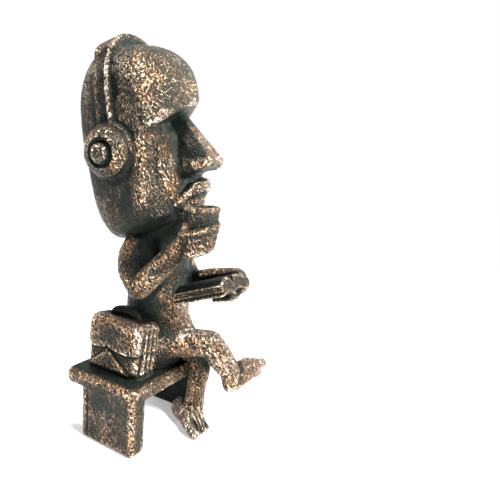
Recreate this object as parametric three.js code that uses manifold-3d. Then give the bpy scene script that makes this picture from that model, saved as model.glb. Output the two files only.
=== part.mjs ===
// A cast resin figurine: a moai-headed figure with headphones sits cross-legged
// on a small bench, a satchel beside it, a cup at its mouth and an open book before it.
// Millimetres, +Z up. X runs along the bench to the figure's left, the figure faces -Y.
import * as THREE from 'three';
import { mergeVertices } from 'three/addons/utils/BufferGeometryUtils.js';
import { RoundedBoxGeometry } from 'three/addons/geometries/RoundedBoxGeometry.js';
import Module from 'manifold-3d';

// Bench
const benchLength = 50.5;
const benchDepth = 35.4;
const benchHeight = 26.2;
const slabThickness = 6.7;
const legThickness = 7.8;
const legBackInset = 9.2;
const benchEdgeRadius = 2.8;

// Figure: every place and girth on the body is a share of its seated height
const seatedHeight = 129;
const figureFromBenchEnd = 31;
const figureFromBenchFront = 14;
const headTilt = 12;
const headOffCentre = -2;
const earHeight = 83.8;
const earBehindHips = 13;

// Headphones: the cup's middle is set from the head's own middle
const earCupRadius = 10.4;
const earCupDepth = 6.2;
const earCupBack = -1.6;
const earCupOut = 1;
const headSide = 14.6;
const knobRadius = 3.8;
const bandWidth = 9.4;
const bandThickness = 4;
const bandBack = -2.2;
const padShare = 0.3;

// Cup
const cupX = -8;
const cupY = -24;
const cupRim = 65.8;
const cupRadius = 6.4;
const cupHeight = 14;
const cupWall = 1.1;
const drinkDepth = 2.2;

// Book
const pageWidth = 8.3;
const bookLength = 21;
const bookThickness = 3.9;
const pageRise = 2.6;
const bookPitch = 20;
const bookX = -5.2;
const bookBackY = -17.6;
const bookZ = 31.2;

// Satchel
const bagLength = 26.5;
const bagThickness = 11;
const bagHeight = 21;
const flapThickness = 1.1;
const flapDrop = 11;
const bagLean = 7;
const bagFromFigure = 18.4;
const bagBehindFront = 17.6;
const bagHandleRadius = 1.8;
const bagHandleReach = 6;
const bagHandleRise = 3.4;

const share = seatedHeight / 129;
const radians = Math.PI / 180;

const wasm = await Module();
wasm.setup();

// Turns a closed geometry into a solid that can be joined and cut
function solid(geometry) {
  const bare = geometry.index ? geometry.clone() : mergeVertices(geometry);
  bare.deleteAttribute('normal');
  bare.deleteAttribute('uv');
  const merged = mergeVertices(bare, 1e-4);
  const mesh = new wasm.Mesh({
    numProp: 3,
    vertProperties: new Float32Array(merged.attributes.position.array),
    triVerts: new Uint32Array(merged.index.array),
  });
  return new wasm.Manifold(mesh);
}

// A closed skin through rings of equally many points, with a fan on each end
function loft(rings) {
  const count = rings[0].length;
  const positions = [];
  const index = [];
  for (const ring of rings) {
    for (const p of ring) positions.push(p.x, p.y, p.z);
  }
  for (let i = 0; i < rings.length - 1; i += 1) {
    for (let j = 0; j < count; j += 1) {
      const a = i * count + j;
      const b = i * count + (j + 1) % count;
      index.push(a, b, a + count, b, b + count, a + count);
    }
  }
  for (const [ring, first, turn] of [[rings[0], 0, 1], [rings.at(-1), (rings.length - 1) * count, 0]]) {
    const centre = new THREE.Vector3();
    for (const p of ring) centre.addScaledVector(p, 1 / count);
    const hub = positions.length / 3;
    positions.push(centre.x, centre.y, centre.z);
    for (let j = 0; j < count; j += 1) {
      const a = first + j;
      const b = first + (j + 1) % count;
      if (turn) index.push(hub, b, a);
      else index.push(hub, a, b);
    }
  }
  const geometry = new THREE.BufferGeometry();
  geometry.setAttribute('position', new THREE.Float32BufferAttribute(positions, 3));
  geometry.setIndex(index);
  return facingOut(geometry);
}

// Flips a closed geometry whose volume comes out negative
function facingOut(geometry) {
  const p = geometry.attributes.position;
  const index = geometry.index.array;
  const [a, b, c] = [new THREE.Vector3(), new THREE.Vector3(), new THREE.Vector3()];
  let volume = 0;
  for (let i = 0; i < index.length; i += 3) {
    a.fromBufferAttribute(p, index[i]);
    b.fromBufferAttribute(p, index[i + 1]);
    c.fromBufferAttribute(p, index[i + 2]);
    volume += a.dot(b.cross(c));
  }
  if (volume < 0) {
    for (let i = 0; i < index.length; i += 3) {
      [index[i + 1], index[i + 2]] = [index[i + 2], index[i + 1]];
    }
  }
  return geometry;
}

// A superellipse ring whose front and back halves reach out by different depths
function ring(level, count) {
  const { z, y, wide, front, back, square, backSquare = square, rise = 0, droop = 0, lean = 0 } = level;
  const points = [];
  for (let j = 0; j < count; j += 1) {
    const angle = (j / count) * 2 * Math.PI;
    const c = Math.cos(angle);
    const s = Math.sin(angle);
    const power = 2 / (s < 0 ? square : backSquare);
    const along = Math.sign(s) * Math.abs(s) ** power * (s < 0 ? front : back);
    const across = Math.sign(c) * Math.abs(c) ** power * wide;
    const height = z - rise * (y + along) - droop * c ** 4 + lean * across;
    points.push(new THREE.Vector3(across, y + along, height));
  }
  return points;
}

function stack(levels, count) {
  return loft(levels.map((level) => ring(level, count)));
}

// A round limb through joints given as [x, y, z, radius], its ends rounded off
function limb(joints, sides = 10, steps = 3) {
  const curve = new THREE.CatmullRomCurve3(joints.map(([x, y, z]) => new THREE.Vector3(x, y, z)));
  const spans = (joints.length - 1) * steps;
  const radiusAt = (t) => {
    const place = Math.min(t * (joints.length - 1), joints.length - 1.001);
    const i = Math.floor(place);
    const blend = place - i;
    const ease = blend * blend * (3 - 2 * blend);
    return joints[i][3] * (1 - ease) + joints[i + 1][3] * ease;
  };
  const stops = [];
  const capAngle = 52 * radians;
  stops.push([0, -Math.sin(capAngle), Math.cos(capAngle)]);
  for (let i = 0; i <= spans; i += 1) stops.push([i / spans, 0, 1]);
  stops.push([1, Math.sin(capAngle), Math.cos(capAngle)]);
  let side = new THREE.Vector3(0.31, 0.17, 0.94);
  const rings = stops.map(([t, beyond, size]) => {
    const tangent = curve.getTangent(t).normalize();
    const centre = curve.getPoint(t);
    side = side.clone().addScaledVector(tangent, -side.dot(tangent)).normalize();
    const up = tangent.clone().cross(side);
    const radius = radiusAt(t);
    const points = [];
    for (let j = 0; j < sides; j += 1) {
      const angle = (j / sides) * 2 * Math.PI;
      points.push(centre.clone()
        .addScaledVector(tangent, beyond * radius)
        .addScaledVector(side, Math.cos(angle) * radius * size)
        .addScaledVector(up, Math.sin(angle) * radius * size));
    }
    return points;
  });
  return loft(rings);
}

function ball(x, y, z, rx, ry, rz, wide, high) {
  return new THREE.SphereGeometry(1, wide, high).scale(rx, ry, rz).translate(x, y, z);
}

function block(sizeX, sizeY, sizeZ, radius, x, y, z, segments = 2) {
  return new RoundedBoxGeometry(sizeX, sizeY, sizeZ, segments, radius).translate(x, y, z);
}

function joined(parts) {
  return parts.map(solid).reduce((sum, next) => sum.add(next));
}

// Lines up body places: x to the figure's left of its middle, y behind the hips' middle, z above the seat
function onFigure(geometry) {
  return geometry.scale(share, share, share)
    .translate(figureFromBenchEnd, figureFromBenchFront, benchHeight);
}

// The head has its own frame at the middle of the ears, tilted back
function onHead(geometry) {
  return geometry.rotateX(-headTilt * radians).translate(headOffCentre, earBehindHips, earHeight);
}

function bench() {
  const legHeight = benchHeight - slabThickness / 2;
  const legDepth = benchDepth - legBackInset;
  const slab = block(benchLength, benchDepth, slabThickness, benchEdgeRadius,
    benchLength / 2, benchDepth / 2, benchHeight - slabThickness / 2);
  const legs = [legThickness / 2, benchLength - legThickness / 2].map((x) => block(
    legThickness, legDepth, legHeight + benchEdgeRadius, benchEdgeRadius,
    x, legDepth / 2, legHeight / 2 - benchEdgeRadius / 2, 1));
  return joined([slab, ...legs]);
}

function head() {
  const levels = [
    { z: -33.2, y: -2, wide: 8.0, front: 11, back: 8, square: 2.2, rise: 0.12 },
    { z: -31.8, y: -2, wide: 12.2, front: 15.5, back: 11.5, square: 2.3, rise: 0.12 },
    { z: -29.0, y: -4, wide: 14.8, front: 17.5, back: 16.6, square: 2.3, rise: 0.1 },
    { z: -24.4, y: -8, wide: 15.9, front: 16.2, back: 23, square: 2.1, backSquare: 2.8, rise: 0.08 },
    { z: -19.0, y: -10.5, wide: 16.2, front: 15.4, back: 27.1, square: 1.95, backSquare: 3.2, rise: 0.04 },
    { z: -12.0, y: -12, wide: 16.2, front: 14.0, back: 29.5, square: 1.85, backSquare: 3.4 },
    { z: -4.0, y: -13.5, wide: 16.1, front: 12.2, back: 31.9, square: 1.8, backSquare: 3.4, lean: 0.02 },
    { z: 2.4, y: -15, wide: 16.0, front: 9.6, back: 33.7, square: 1.9, backSquare: 3.4, lean: 0.14 },
    { z: 7.4, y: -15, wide: 16.0, front: 7.0, back: 34, square: 2.3, backSquare: 3.4, droop: 0.4, lean: 0.3 },
    { z: 9.8, y: -14, wide: 16.1, front: 9.6, back: 33, square: 2.6, backSquare: 3.4, droop: 0.4, lean: 0.34 },
    { z: 11.4, y: -13, wide: 16.5, front: 15.4, back: 32, square: 2.5, backSquare: 3.4, droop: 0.4, lean: 0.35 },
    { z: 17.0, y: -13, wide: 16.5, front: 16.4, back: 32, square: 2.4, backSquare: 3.3, droop: 0.5, lean: 0.22 },
    { z: 25.0, y: -12, wide: 16.2, front: 16.6, back: 29.9, square: 2.3, backSquare: 3.1, droop: 0.8, lean: 0.06 },
    { z: 31.5, y: -10, wide: 15.2, front: 15.8, back: 25, square: 2.2, backSquare: 2.8, rise: -0.04, droop: 1 },
    { z: 36.0, y: -7, wide: 12.9, front: 14.4, back: 18.5, square: 2.1, backSquare: 2.5, rise: -0.08 },
    { z: 39.0, y: -3, wide: 9.2, front: 12.0, back: 12, square: 2.1, rise: -0.12 },
    { z: 40.4, y: 0, wide: 4.8, front: 7.5, back: 6.5, square: 2, rise: -0.15 },
  ];
  return stack(levels, 26);
}

// The nose ring: flat ridge in front, sloping flanks, and a back that sinks into the face
function noseRing(z, ridge, ridgeHalf, baseHalf) {
  const sunk = -18;
  const base = -21.5;
  const outline = [[baseHalf, sunk], [baseHalf, base], [ridgeHalf, ridge + 1], [ridgeHalf * 0.6, ridge]];
  const left = outline.map(([x, y]) => new THREE.Vector3(x, y, z));
  const right = outline.toReversed().map(([x, y]) => new THREE.Vector3(-x, y, z));
  return [...left, ...right];
}

function face() {
  const nose = loft([
    noseRing(13.0, -24.0, 2.0, 2.8),
    noseRing(8.0, -27.0, 2.4, 3.8),
    noseRing(0.0, -32.2, 3.4, 5.6),
    noseRing(-6.0, -36.0, 4.4, 7.0),
    noseRing(-9.2, -38.0, 5.0, 7.5),
    noseRing(-10.8, -37.4, 5.0, 7.5),
    noseRing(-12.2, -34.0, 4.7, 6.8),
    noseRing(-13.4, -27.0, 3.8, 5.6),
  ]);
  const nostrils = [-1, 1].map((s) => ball(s * 4.7, -32.4, -10.6, 2.2, 4.2, 2.4, 8, 6));
  const cheeks = [-1, 1].map((s) => limb([
    [s * 6.6, -18.0, 4, 4.4], [s * 7.4, -18.8, -4, 5.6],
    [s * 7.0, -19.6, -12, 5.8], [s * 6.2, -19.6, -19, 5.0]], 8, 2));
  const muzzle = ball(0, -20.2, -19, 8.6, 6.8, 6.6, 10, 7);
  const upperLip = limb([
    [-6.2, -24.2, -19.6, 1.1], [-3.6, -28.4, -17.6, 1.9], [0, -30.3, -16.8, 2.3],
    [3.6, -28.4, -17.6, 1.9], [6.2, -24.2, -19.6, 1.1]], 8, 2);
  const lowerLip = limb([
    [-5.8, -24.2, -21.4, 1.0], [-3.2, -26.8, -22.3, 1.8], [0, -27.8, -22.6, 2.1],
    [3.2, -26.8, -22.3, 1.8], [5.8, -24.2, -21.4, 1.0]], 8, 2);
  return [nose, ...nostrils, ...cheeks, muzzle, upperLip, lowerLip];
}

// The band runs over the crown in the plane through both ears, padded on top
function headband() {
  const inner = headSide + 0.6;
  const crown = 40.2;
  const shoulder = 22;
  const steps = 12;
  const round = 2 / 2.2;
  const spine = [[inner + 0.4, 4, 0]];
  for (let i = 0; i <= steps; i += 1) {
    const angle = (i / steps) * Math.PI;
    const c = Math.cos(angle);
    const s = Math.sin(angle);
    spine.push([Math.sign(c) * Math.abs(c) ** round * inner, shoulder + s ** round * (crown - shoulder), s]);
  }
  spine.push([-inner - 0.4, 4, 0]);
  const middle = new THREE.Vector2(0, shoulder - 12);
  return loft(spine.map(([x, z, s]) => {
    const out = new THREE.Vector2(x, z).sub(middle).normalize();
    if (z < shoulder + 0.1) out.set(Math.sign(x), 0);
    const pad = THREE.MathUtils.smoothstep(s, 0.62, 0.74);
    const half = (bandWidth / 2) * (1 + padShare * pad);
    const low = -bandThickness * 0.6;
    const high = bandThickness * (0.5 + 0.55 * pad);
    const section = [[-half, low], [half, low], [half, high * 0.6], [half * 0.6, high],
      [-half * 0.6, high], [-half, high * 0.6]];
    return section.map(([y, r]) => new THREE.Vector3(x + out.x * r, bandBack + y, z + out.y * r));
  }));
}

// Ear cushion, domed shell and a low round knob on each side, longer to front and back than upright
function earCups() {
  const r = earCupRadius;
  const d = earCupDepth;
  const k = knobRadius;
  const profile = [
    [0, -3], [r * 0.9, -3], [r * 0.98, 0.2], [r, 1.2], [r * 0.9, 2.2],
    [r * 0.9, 2.7], [r * 0.83, d * 0.66], [r * 0.66, d * 0.86], [k + 1.2, d],
    [k, d * 0.82], [k, d * 0.96], [k * 0.84, d * 1.14], [k * 0.45, d * 1.24], [0, d * 1.28],
  ].map(([x, y]) => new THREE.Vector2(x, y));
  return [-1, 1].map((s) => new THREE.LatheGeometry(profile, 18)
    .rotateZ(-s * Math.PI / 2).scale(1, 1.02, 1.16).rotateX(Math.PI / 2)
    .translate(s * (headSide + earCupOut), earCupBack, 0));
}

function torso() {
  const levels = [
    { z: -1.2, y: 1, wide: 12.5, front: 11, back: 11.5, square: 2.4 },
    { z: 3, y: 1, wide: 13.6, front: 12.5, back: 12.6, square: 2.4 },
    { z: 12, y: 0, wide: 13.2, front: 18, back: 12.8, square: 2 },
    { z: 17, y: 0, wide: 12.8, front: 15.4, back: 12.8, square: 2 },
    { z: 22, y: 0, wide: 12.4, front: 12.9, back: 12.6, square: 2.1 },
    { z: 33, y: 0.5, wide: 12.4, front: 13.8, back: 11.6, square: 2.1 },
    { z: 42, y: 1.5, wide: 13.2, front: 12.5, back: 10.4, square: 2.2 },
    { z: 49, y: 2.5, wide: 12.6, front: 11, back: 9.4, square: 2.2 },
    { z: 54, y: 3.5, wide: 10, front: 14.5, back: 8.4, square: 2 },
    { z: 62, y: 5, wide: 9.4, front: 20, back: 8.4, square: 2 },
  ];
  return stack(levels, 18);
}

function rightArm() {
  return [
    limb([[-7.5, 3, 51.5, 4.6], [-12, 4, 45.5, 4.6], [-14.2, 3.6, 39.5, 4.4], [-16.3, -2.6, 34, 4.5]], 10, 2),
    limb([[-16.5, -3.5, 34, 4.5], [-14.8, -11, 42, 4.4], [-12.4, -18, 50, 3.9], [-11, -21, 54.5, 4.2]], 10, 2),
  ];
}

function leftArm() {
  return [
    limb([[10, 3, 51, 4.6], [13, -1.5, 42.5, 4.4], [13, -6, 35.5, 4.2], [11.5, -10, 32.6, 4]], 10, 2),
    limb([[11.5, -10, 32.6, 4], [8, -17, 35.8, 3.6], [5.8, -24, 38, 3.3], [4.8, -33, 39.8, 3.2]], 10, 2),
  ];
}

function legs() {
  const rightThigh = limb([[-6.5, -1, 8, 6.2], [-3.5, -12, 10.8, 5.7], [-0.5, -20, 11.8, 5.5], [1.8, -25, 12, 5.3]], 11, 2);
  const rightCalf = limb([[1.8, -25, 12, 5.3], [4.2, -29, 6, 5.0], [6.6, -31.5, 0.5, 4.1], [7.4, -32, -4, 3.6]], 11, 2);
  const rightFoot = limb([[7.2, -32, -4.6, 3.4], [12, -33.5, -1.2, 4.5], [16.6, -35, 0.4, 4.4], [20.6, -36.2, -1.2, 3.3]], 11, 2);
  const leftThigh = limb([[7, -1, 7, 6.2], [6.8, -10, 6, 5.8], [6.6, -17.5, 4.6, 5.4]], 11, 2);
  const rightToes = toes([20.8, -37.4, 0.2], [20.0, -34.6, -3.6], 1.3, 1);
  return [rightThigh, rightCalf, rightFoot, leftThigh, ...rightToes];
}

// The standing shin and foot run from the knee on the seat down to the ground
function standingLeg() {
  const x = figureFromBenchEnd;
  const y = figureFromBenchFront;
  const s = share;
  const knee = benchHeight + 4.2 * s;
  const ankle = 8 * s;
  const between = (t) => ankle + (knee - ankle) * t;
  const shin = limb([
    [x + 6.6 * s, y - 17.5 * s, knee, 5.2 * s], [x + 5.6 * s, y - 18.2 * s, between(0.7), 4.4 * s],
    [x + 6 * s, y - 17.2 * s, between(0.3), 3.9 * s], [x + 6.8 * s, y - 16.4 * s, ankle * 0.8, 3.8 * s]], 11, 2);
  const foot = limb([
    [x + 7.2 * s, y - 10.6 * s, 3.6 * s, 4.6 * s], [x + 3.4 * s, y - 17.5 * s, 3.8 * s, 5.4 * s],
    [x - 0.2 * s, y - 23.4 * s, 2.4 * s, 5.4 * s], [x - 2 * s, y - 26 * s, 1.8 * s, 4.4 * s]], 11, 2);
  const leftToes = toes([-5, -27.6, 1.4], [1.6, -27.4, 1.2], 1, 1.5).map((toe) => toe
    .scale(s, s, s).translate(x, y, 0));
  return [shin, foot, ...leftToes];
}

// The cup stands at the mouth with a shallow well for the drink
function cup() {
  const bottom = cupRim - cupHeight;
  const body = [[0, 0], [cupRadius * 0.72, 0], [cupRadius * 0.86, 1], [cupRadius * 0.95, cupHeight * 0.5],
    [cupRadius, cupHeight - 1.2], [cupRadius - cupWall * 0.3, cupHeight], [cupRadius - cupWall, cupHeight],
    [cupRadius - cupWall * 1.2, cupHeight - drinkDepth], [0, cupHeight - drinkDepth]];
  const profile = body.map(([x, y]) => new THREE.Vector2(x, y));
  return new THREE.LatheGeometry(profile, 18).rotateX(Math.PI / 2).translate(cupX, cupY, bottom);
}

// Four fingers and a thumb curl round the cup from the near side
function cupHand() {
  const reach = cupRadius - 0.3;
  const around = (angle, z, r) => [cupX + Math.cos(angle * radians) * reach,
    cupY + Math.sin(angle * radians) * reach, z, r];
  const fingers = [0, 1, 2, 3].map((i) => {
    const z = cupRim - 6.4 - i * 2.1;
    return limb([around(150, z - 4, 1.8), around(195, z - 2.8, 1.8), around(240, z - 1.2, 1.6),
      around(276 - i * 7, z + 0.3, 1.4)], 7, 2);
  });
  const palm = limb([[-10.8, -21.5, 54.2, 4.2], [-10.2, -22.5, 57.4, 4.6]], 10, 2);
  return [...fingers, palm];
}

// Two page blocks that hump up beside the gutter, on a cover
function book() {
  const steps = 6;
  const rings = [];
  for (const along of [0, bookLength]) {
    const top = [];
    const bottom = [];
    for (let i = 0; i <= 2 * steps; i += 1) {
      const x = (i / steps - 1) * pageWidth;
      const out = Math.abs(x) / pageWidth;
      const hump = Math.sin(Math.PI * Math.min(1, out ** 0.6)) * pageRise - (1 - out) ** 4 * 1.2;
      top.push([x, bookThickness / 2 + hump]);
      bottom.push([x, -bookThickness / 2 + hump * 0.45]);
    }
    const outline = [...top, ...bottom.toReversed()];
    rings.push(outline.map(([x, z]) => new THREE.Vector3(x, -along, z)));
  }
  return loft(rings).rotateX(-bookPitch * radians).translate(bookX, bookBackY, bookZ);
}

function bookHand() {
  const under = [0, 1, 2].map((i) => limb([
    [4.6, -33.5 + i * 3.1, 37 - i * 0.8, 1.8], [1, -34 + i * 3.1, 33 - i * 0.8, 1.8],
    [-3, -34 + i * 3.1, 32.4 - i * 0.8, 1.6]], 7, 2));
  const thumb = limb([[4.8, -31, 40.2, 2.2], [3, -34, 40.6, 1.8], [1.8, -35.5, 40.4, 1.5]], 7, 2);
  const knuckles = ball(4.1, -33.9, 37.6, 3.3, 4.6, 4.2, 8, 6);
  return [...under, thumb, knuckles];
}

// A row of five toes from the big toe at one place to the small toe at another
function toes(big, small, stretchX, stretchY) {
  return [0, 1, 2, 3, 4].map((i) => {
    const [x, y, z] = big.map((from, axis) => from + (small[axis] - from) * i / 4);
    const r = i === 0 ? 1.8 : 1.4;
    return ball(x, y, z, r * stretchX, r * stretchY, r, 5, 4);
  });
}

function satchel() {
  const body = block(bagThickness, bagLength, bagHeight, 3, 0, 0, bagHeight / 2);
  const flap = block(bagThickness + flapThickness, bagLength - 1, flapDrop, 2.6,
    -flapThickness / 2, 0, bagHeight - flapDrop / 2 + flapThickness, 1);
  const handleX = 0.5;
  const underHandle = block(1.6, 10, 4, 0.6, handleX, 0, bagHeight + 1.6, 1);
  const reach = bagHandleReach;
  const handlePath = [[-reach, 0], [-reach * 0.84, 0.65], [0, 1], [reach * 0.84, 0.65], [reach, 0]];
  const handle = limb(handlePath.map(([y, rise]) => [handleX, y, bagHeight + rise * bagHandleRise, bagHandleRadius]), 8, 2);
  return [body, flap, handle, underHandle].map((geometry) => geometry
    .rotateY(bagLean * radians)
    .translate(figureFromBenchEnd - bagFromFigure, bagBehindFront, benchHeight - 1));
}

function ground() {
  const big = 400;
  return new THREE.BoxGeometry(big, big, big).translate(0, 0, -big / 2);
}

const skull = solid(onFigure(onHead(head())));
const headParts = joined([...face(), headband(), ...earCups()].map((g) => onFigure(onHead(g))));
const body = joined([torso(), ...rightArm(), ...leftArm(), ...legs(), cup(), ...cupHand(), book(), ...bookHand()]
  .map(onFigure));
const lower = joined(standingLeg());
const bag = joined(satchel());

const whole = bench().add(skull).add(headParts).add(body).add(lower).add(bag)
  .subtract(solid(ground()));

// Hands the joined solid back as one geometry, set down with its footprint's middle on the origin
function finished(manifold) {
  const mesh = manifold.getMesh();
  const geometry = new THREE.BufferGeometry();
  geometry.setAttribute('position', new THREE.Float32BufferAttribute(mesh.vertProperties, 3));
  geometry.setIndex(Array.from(mesh.triVerts));
  geometry.computeBoundingBox();
  const { min, max } = geometry.boundingBox;
  geometry.translate(-(min.x + max.x) / 2, -(min.y + max.y) / 2, -min.z);
  geometry.computeVertexNormals();
  return geometry;
}

const bronze = new THREE.MeshStandardMaterial({ color: 0x6b5a45, roughness: 0.45, metalness: 0.7 });
const figurine = new THREE.Mesh(finished(whole), bronze);
figurine.name = 'moai_figurine';

const group = new THREE.Group();
group.add(figurine);
export default group;
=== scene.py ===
"""A cast resin figurine in antique bronze paint: a moai-headed figure with headphones sits on a bench,
one leg over the other, with a satchel beside it, a cup at its mouth and an open book before it.

Lengths are in millimetres until the last step, in the bench's own frame: X from the near end of the bench
to the figure's left, Y back from the bench's front, Z up from the ground.
"""
from types import SimpleNamespace

import bpy
import numpy as np
from mathutils import Matrix


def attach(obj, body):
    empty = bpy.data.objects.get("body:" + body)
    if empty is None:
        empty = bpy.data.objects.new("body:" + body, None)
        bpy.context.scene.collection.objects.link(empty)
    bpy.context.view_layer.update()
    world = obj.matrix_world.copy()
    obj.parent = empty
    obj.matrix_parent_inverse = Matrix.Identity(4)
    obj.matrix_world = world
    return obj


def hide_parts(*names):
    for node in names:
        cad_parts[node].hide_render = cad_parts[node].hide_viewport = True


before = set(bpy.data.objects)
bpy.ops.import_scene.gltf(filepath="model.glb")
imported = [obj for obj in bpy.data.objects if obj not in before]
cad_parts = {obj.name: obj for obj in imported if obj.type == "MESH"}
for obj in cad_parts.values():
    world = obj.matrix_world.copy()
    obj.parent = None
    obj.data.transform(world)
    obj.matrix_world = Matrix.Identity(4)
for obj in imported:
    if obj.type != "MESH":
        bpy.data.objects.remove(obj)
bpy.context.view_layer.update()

METRES = 0.001

# Bench
BENCH_LENGTH = 50.5
BENCH_DEPTH = 35.4
BENCH_HEIGHT = 26.2
SLAB_THICKNESS = 6.7
LEG_THICKNESS = 7.8
LEG_BACK_INSET = 9.2
BENCH_EDGE_RADIUS = 2.8
LEG_EDGE_RADIUS = 1.6

# Figure: the hips' middle on the seat, the head's middle from there, and the share of the brow's lean that
# its far end gives back
HIPS_PLACE = np.array([31.0, 14.0, BENCH_HEIGHT])
HEAD_TILT = np.radians(12.0)
HEAD_PLACE = np.array([-2.0, 13.0, 83.8])
BROW_TURNS_DOWN = 0.8

# Headphones
HEAD_SIDE = 14.6
EAR_CUP_BACK = -1.6
EAR_CUP_OUT = 1.0
EAR_CUP_RADIUS = 10.4
EAR_CUP_DEPTH = 6.2
EAR_CUP_STRETCH = 1.16
EAR_CUP_DROOP = np.radians(8.0)
KNOB_RADIUS = 3.8
BAND_BACK = -2.2
BAND_WIDTH = 9.4
BAND_THICKNESS = 4.0

# Cup
CUP_PLACE = np.array([-8.0, -24.0])
CUP_RIM = 65.8
CUP_RADIUS = 6.4
CUP_HEIGHT = 14.0
CUP_WALL = 1.1
DRINK_DEPTH = 2.2

# Book
PAGE_WIDTH = 8.3
BOOK_LENGTH = 21.0
BOOK_THICKNESS = 3.9
PAGE_RISE = 2.6
BOOK_PITCH = np.radians(20.0)
BOOK_PLACE = np.array([-5.2, -17.6, 31.2])

# Satchel
BAG_LENGTH = 26.5
BAG_THICKNESS = 11.0
BAG_HEIGHT = 21.0
BAG_LEAN = np.radians(7.0)
BAG_PLACE = np.array([12.6, 17.6, BENCH_HEIGHT - 1.0])
FLAP_MEETS = 2.5
FLAP_LEVEL = 11.6
FLAP_DROP = 2.6
PLEAT_LEVEL = 9.4
FOLD_PITCH = 2.7

# Arm joints: x, y, z and radius from the hips' middle
RIGHT_UPPER_ARM = [[-8, 4.4, 51, 4.4], [-12.6, 4.8, 45.5, 4.2],
                   [-14.6, 3.6, 39.5, 4.2], [-16.3, -2.6, 34, 4.5]]
RIGHT_FOREARM = [[-16.5, -3.5, 34, 4.5], [-14.8, -11, 42, 4.4],
                 [-12.4, -18, 50, 3.9], [-11, -21, 54.5, 4.2]]
LEFT_UPPER_ARM = [[10, 3, 51, 4.6], [13, -1.5, 42.5, 4.4], [13, -6, 35.5, 4.2], [11.5, -10, 32.6, 4]]
LEFT_FOREARM = [[11.5, -10, 32.6, 4], [8, -17, 35.8, 3.6], [5.8, -24, 38, 3.3], [4.8, -33, 39.8, 3.2]]

# How far the bench's corner stands from the middle of the figurine's footprint
FOOTPRINT_MIDDLE = np.array([27.40, 12.15, 0.0])

# Surface: widths of the meshes' squares, and the hammer marks
VOXEL = 0.42
BODY_VOXEL = 0.375
LEGS_VOXEL = 0.33
HAMMER_PITCH = 1.25
HAMMER_DEPTH = 0.21

# The rubbed network in the paint. Scales are waves in a metre, reaches and depths are metres.
NETWORK_SCALE = 1100
NETWORK_SLANT = -0.67
NETWORK_STRETCH = 1.9
WOBBLE_SCALE = 620
WOBBLE_REACH = 0.0009
BUMP_DEPTH = 0.0009

# The photograph's camera: its place in the bench's frame, its turn from the front, rise and roll, and its
# lens by the picture's width
CAMERA_PLACE = np.array([-118.5, -99.15, 106.11])
CAMERA_TURN, CAMERA_RISE, CAMERA_ROLL = np.radians([-52.92, 10.33, 2.07])
FOCAL_PIXELS = 472.5
PICTURE_PIXELS = 500
SENSOR_WIDTH = 36.0
CAMERA_SHIFT = 0.18


def through(rows, t):
    """A smooth curve through the rows: at t between two rows, the cubic whose slopes there are half the
    difference of the rows on either side."""
    rows = np.asarray(rows, float)
    last = len(rows) - 1
    t = np.clip(t, 0, last - 1e-9)
    i = np.floor(t).astype(int)
    f = (t - i)[:, None]
    before, here = rows[np.maximum(i - 1, 0)], rows[i]
    there, beyond = rows[i + 1], rows[np.minimum(i + 2, last)]
    return 0.5 * (2 * here + (there - before) * f + (2 * before - 5 * here + 4 * there - beyond) * f**2
                  + (3 * here - before - 3 * there + beyond) * f**3)


def skin(grid):
    """Triangles over a grid of rows, closed round each row, with a fan to the middle of each end row."""
    rows, around, _ = grid.shape
    points = np.vstack([grid.reshape(-1, 3), grid[0].mean(0), grid[-1].mean(0)])
    i, j = np.meshgrid(np.arange(rows - 1), np.arange(around), indexing="ij")
    a = (i * around + j).ravel()
    b = (i * around + (j + 1) % around).ravel()
    sides = np.vstack([np.column_stack([a, b, a + around]), np.column_stack([b, b + around, a + around])])
    edge = np.arange(around)
    after = (edge + 1) % around
    first, final = rows * around, rows * around + 1
    start = np.column_stack([np.full(around, first), after, edge])
    stop = np.column_stack([np.full(around, final), edge + first - around, after + first - around])
    return facing_out(points, np.vstack([sides, start, stop]))


def facing_out(points, faces):
    """The same surface, its faces turned round if they enclose a negative volume."""
    a, b, c = points[faces[:, 0]], points[faces[:, 1]], points[faces[:, 2]]
    if np.einsum("ij,ij->", a, np.cross(b, c)) < 0:
        faces = faces[:, ::-1]
    return points, faces


def stack(levels, around=120, along=160):
    """Superellipse rings up a smooth column. A ring at angle a reaches |cos a|^(2/n) of its half width
    across, and |sin a|^(2/n) of its front or back depth along. It dips backward by its rise, at its sides
    by its droop and towards the figure's right by its lean, which turns down again at the left end. Levels
    give z, y, half width, front and back depth, front and back n, rise, droop and lean."""
    stops = np.linspace(0, len(levels) - 1, along)
    z, y, wide, front, back, front_n, back_n, rise, droop, lean = through(levels, stops).T
    angle = np.linspace(0, 2 * np.pi, around, endpoint=False)[None, :]
    c, s = np.cos(angle), np.sin(angle)
    power = np.where(s < 0, 2 / front_n[:, None], 2 / back_n[:, None])
    run = np.sign(s) * np.abs(s)**power * np.where(s < 0, front[:, None], back[:, None]) + y[:, None]
    across = np.sign(c) * np.abs(c)**power * wide[:, None]
    far_end = BROW_TURNS_DOWN * wide[:, None] * np.maximum(c, 0)**4
    height = z[:, None] - rise[:, None] * run - droop[:, None] * c**4
    height = height + lean[:, None] * (across - far_end)
    return skin(np.stack([across, run, height], 2))


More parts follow.
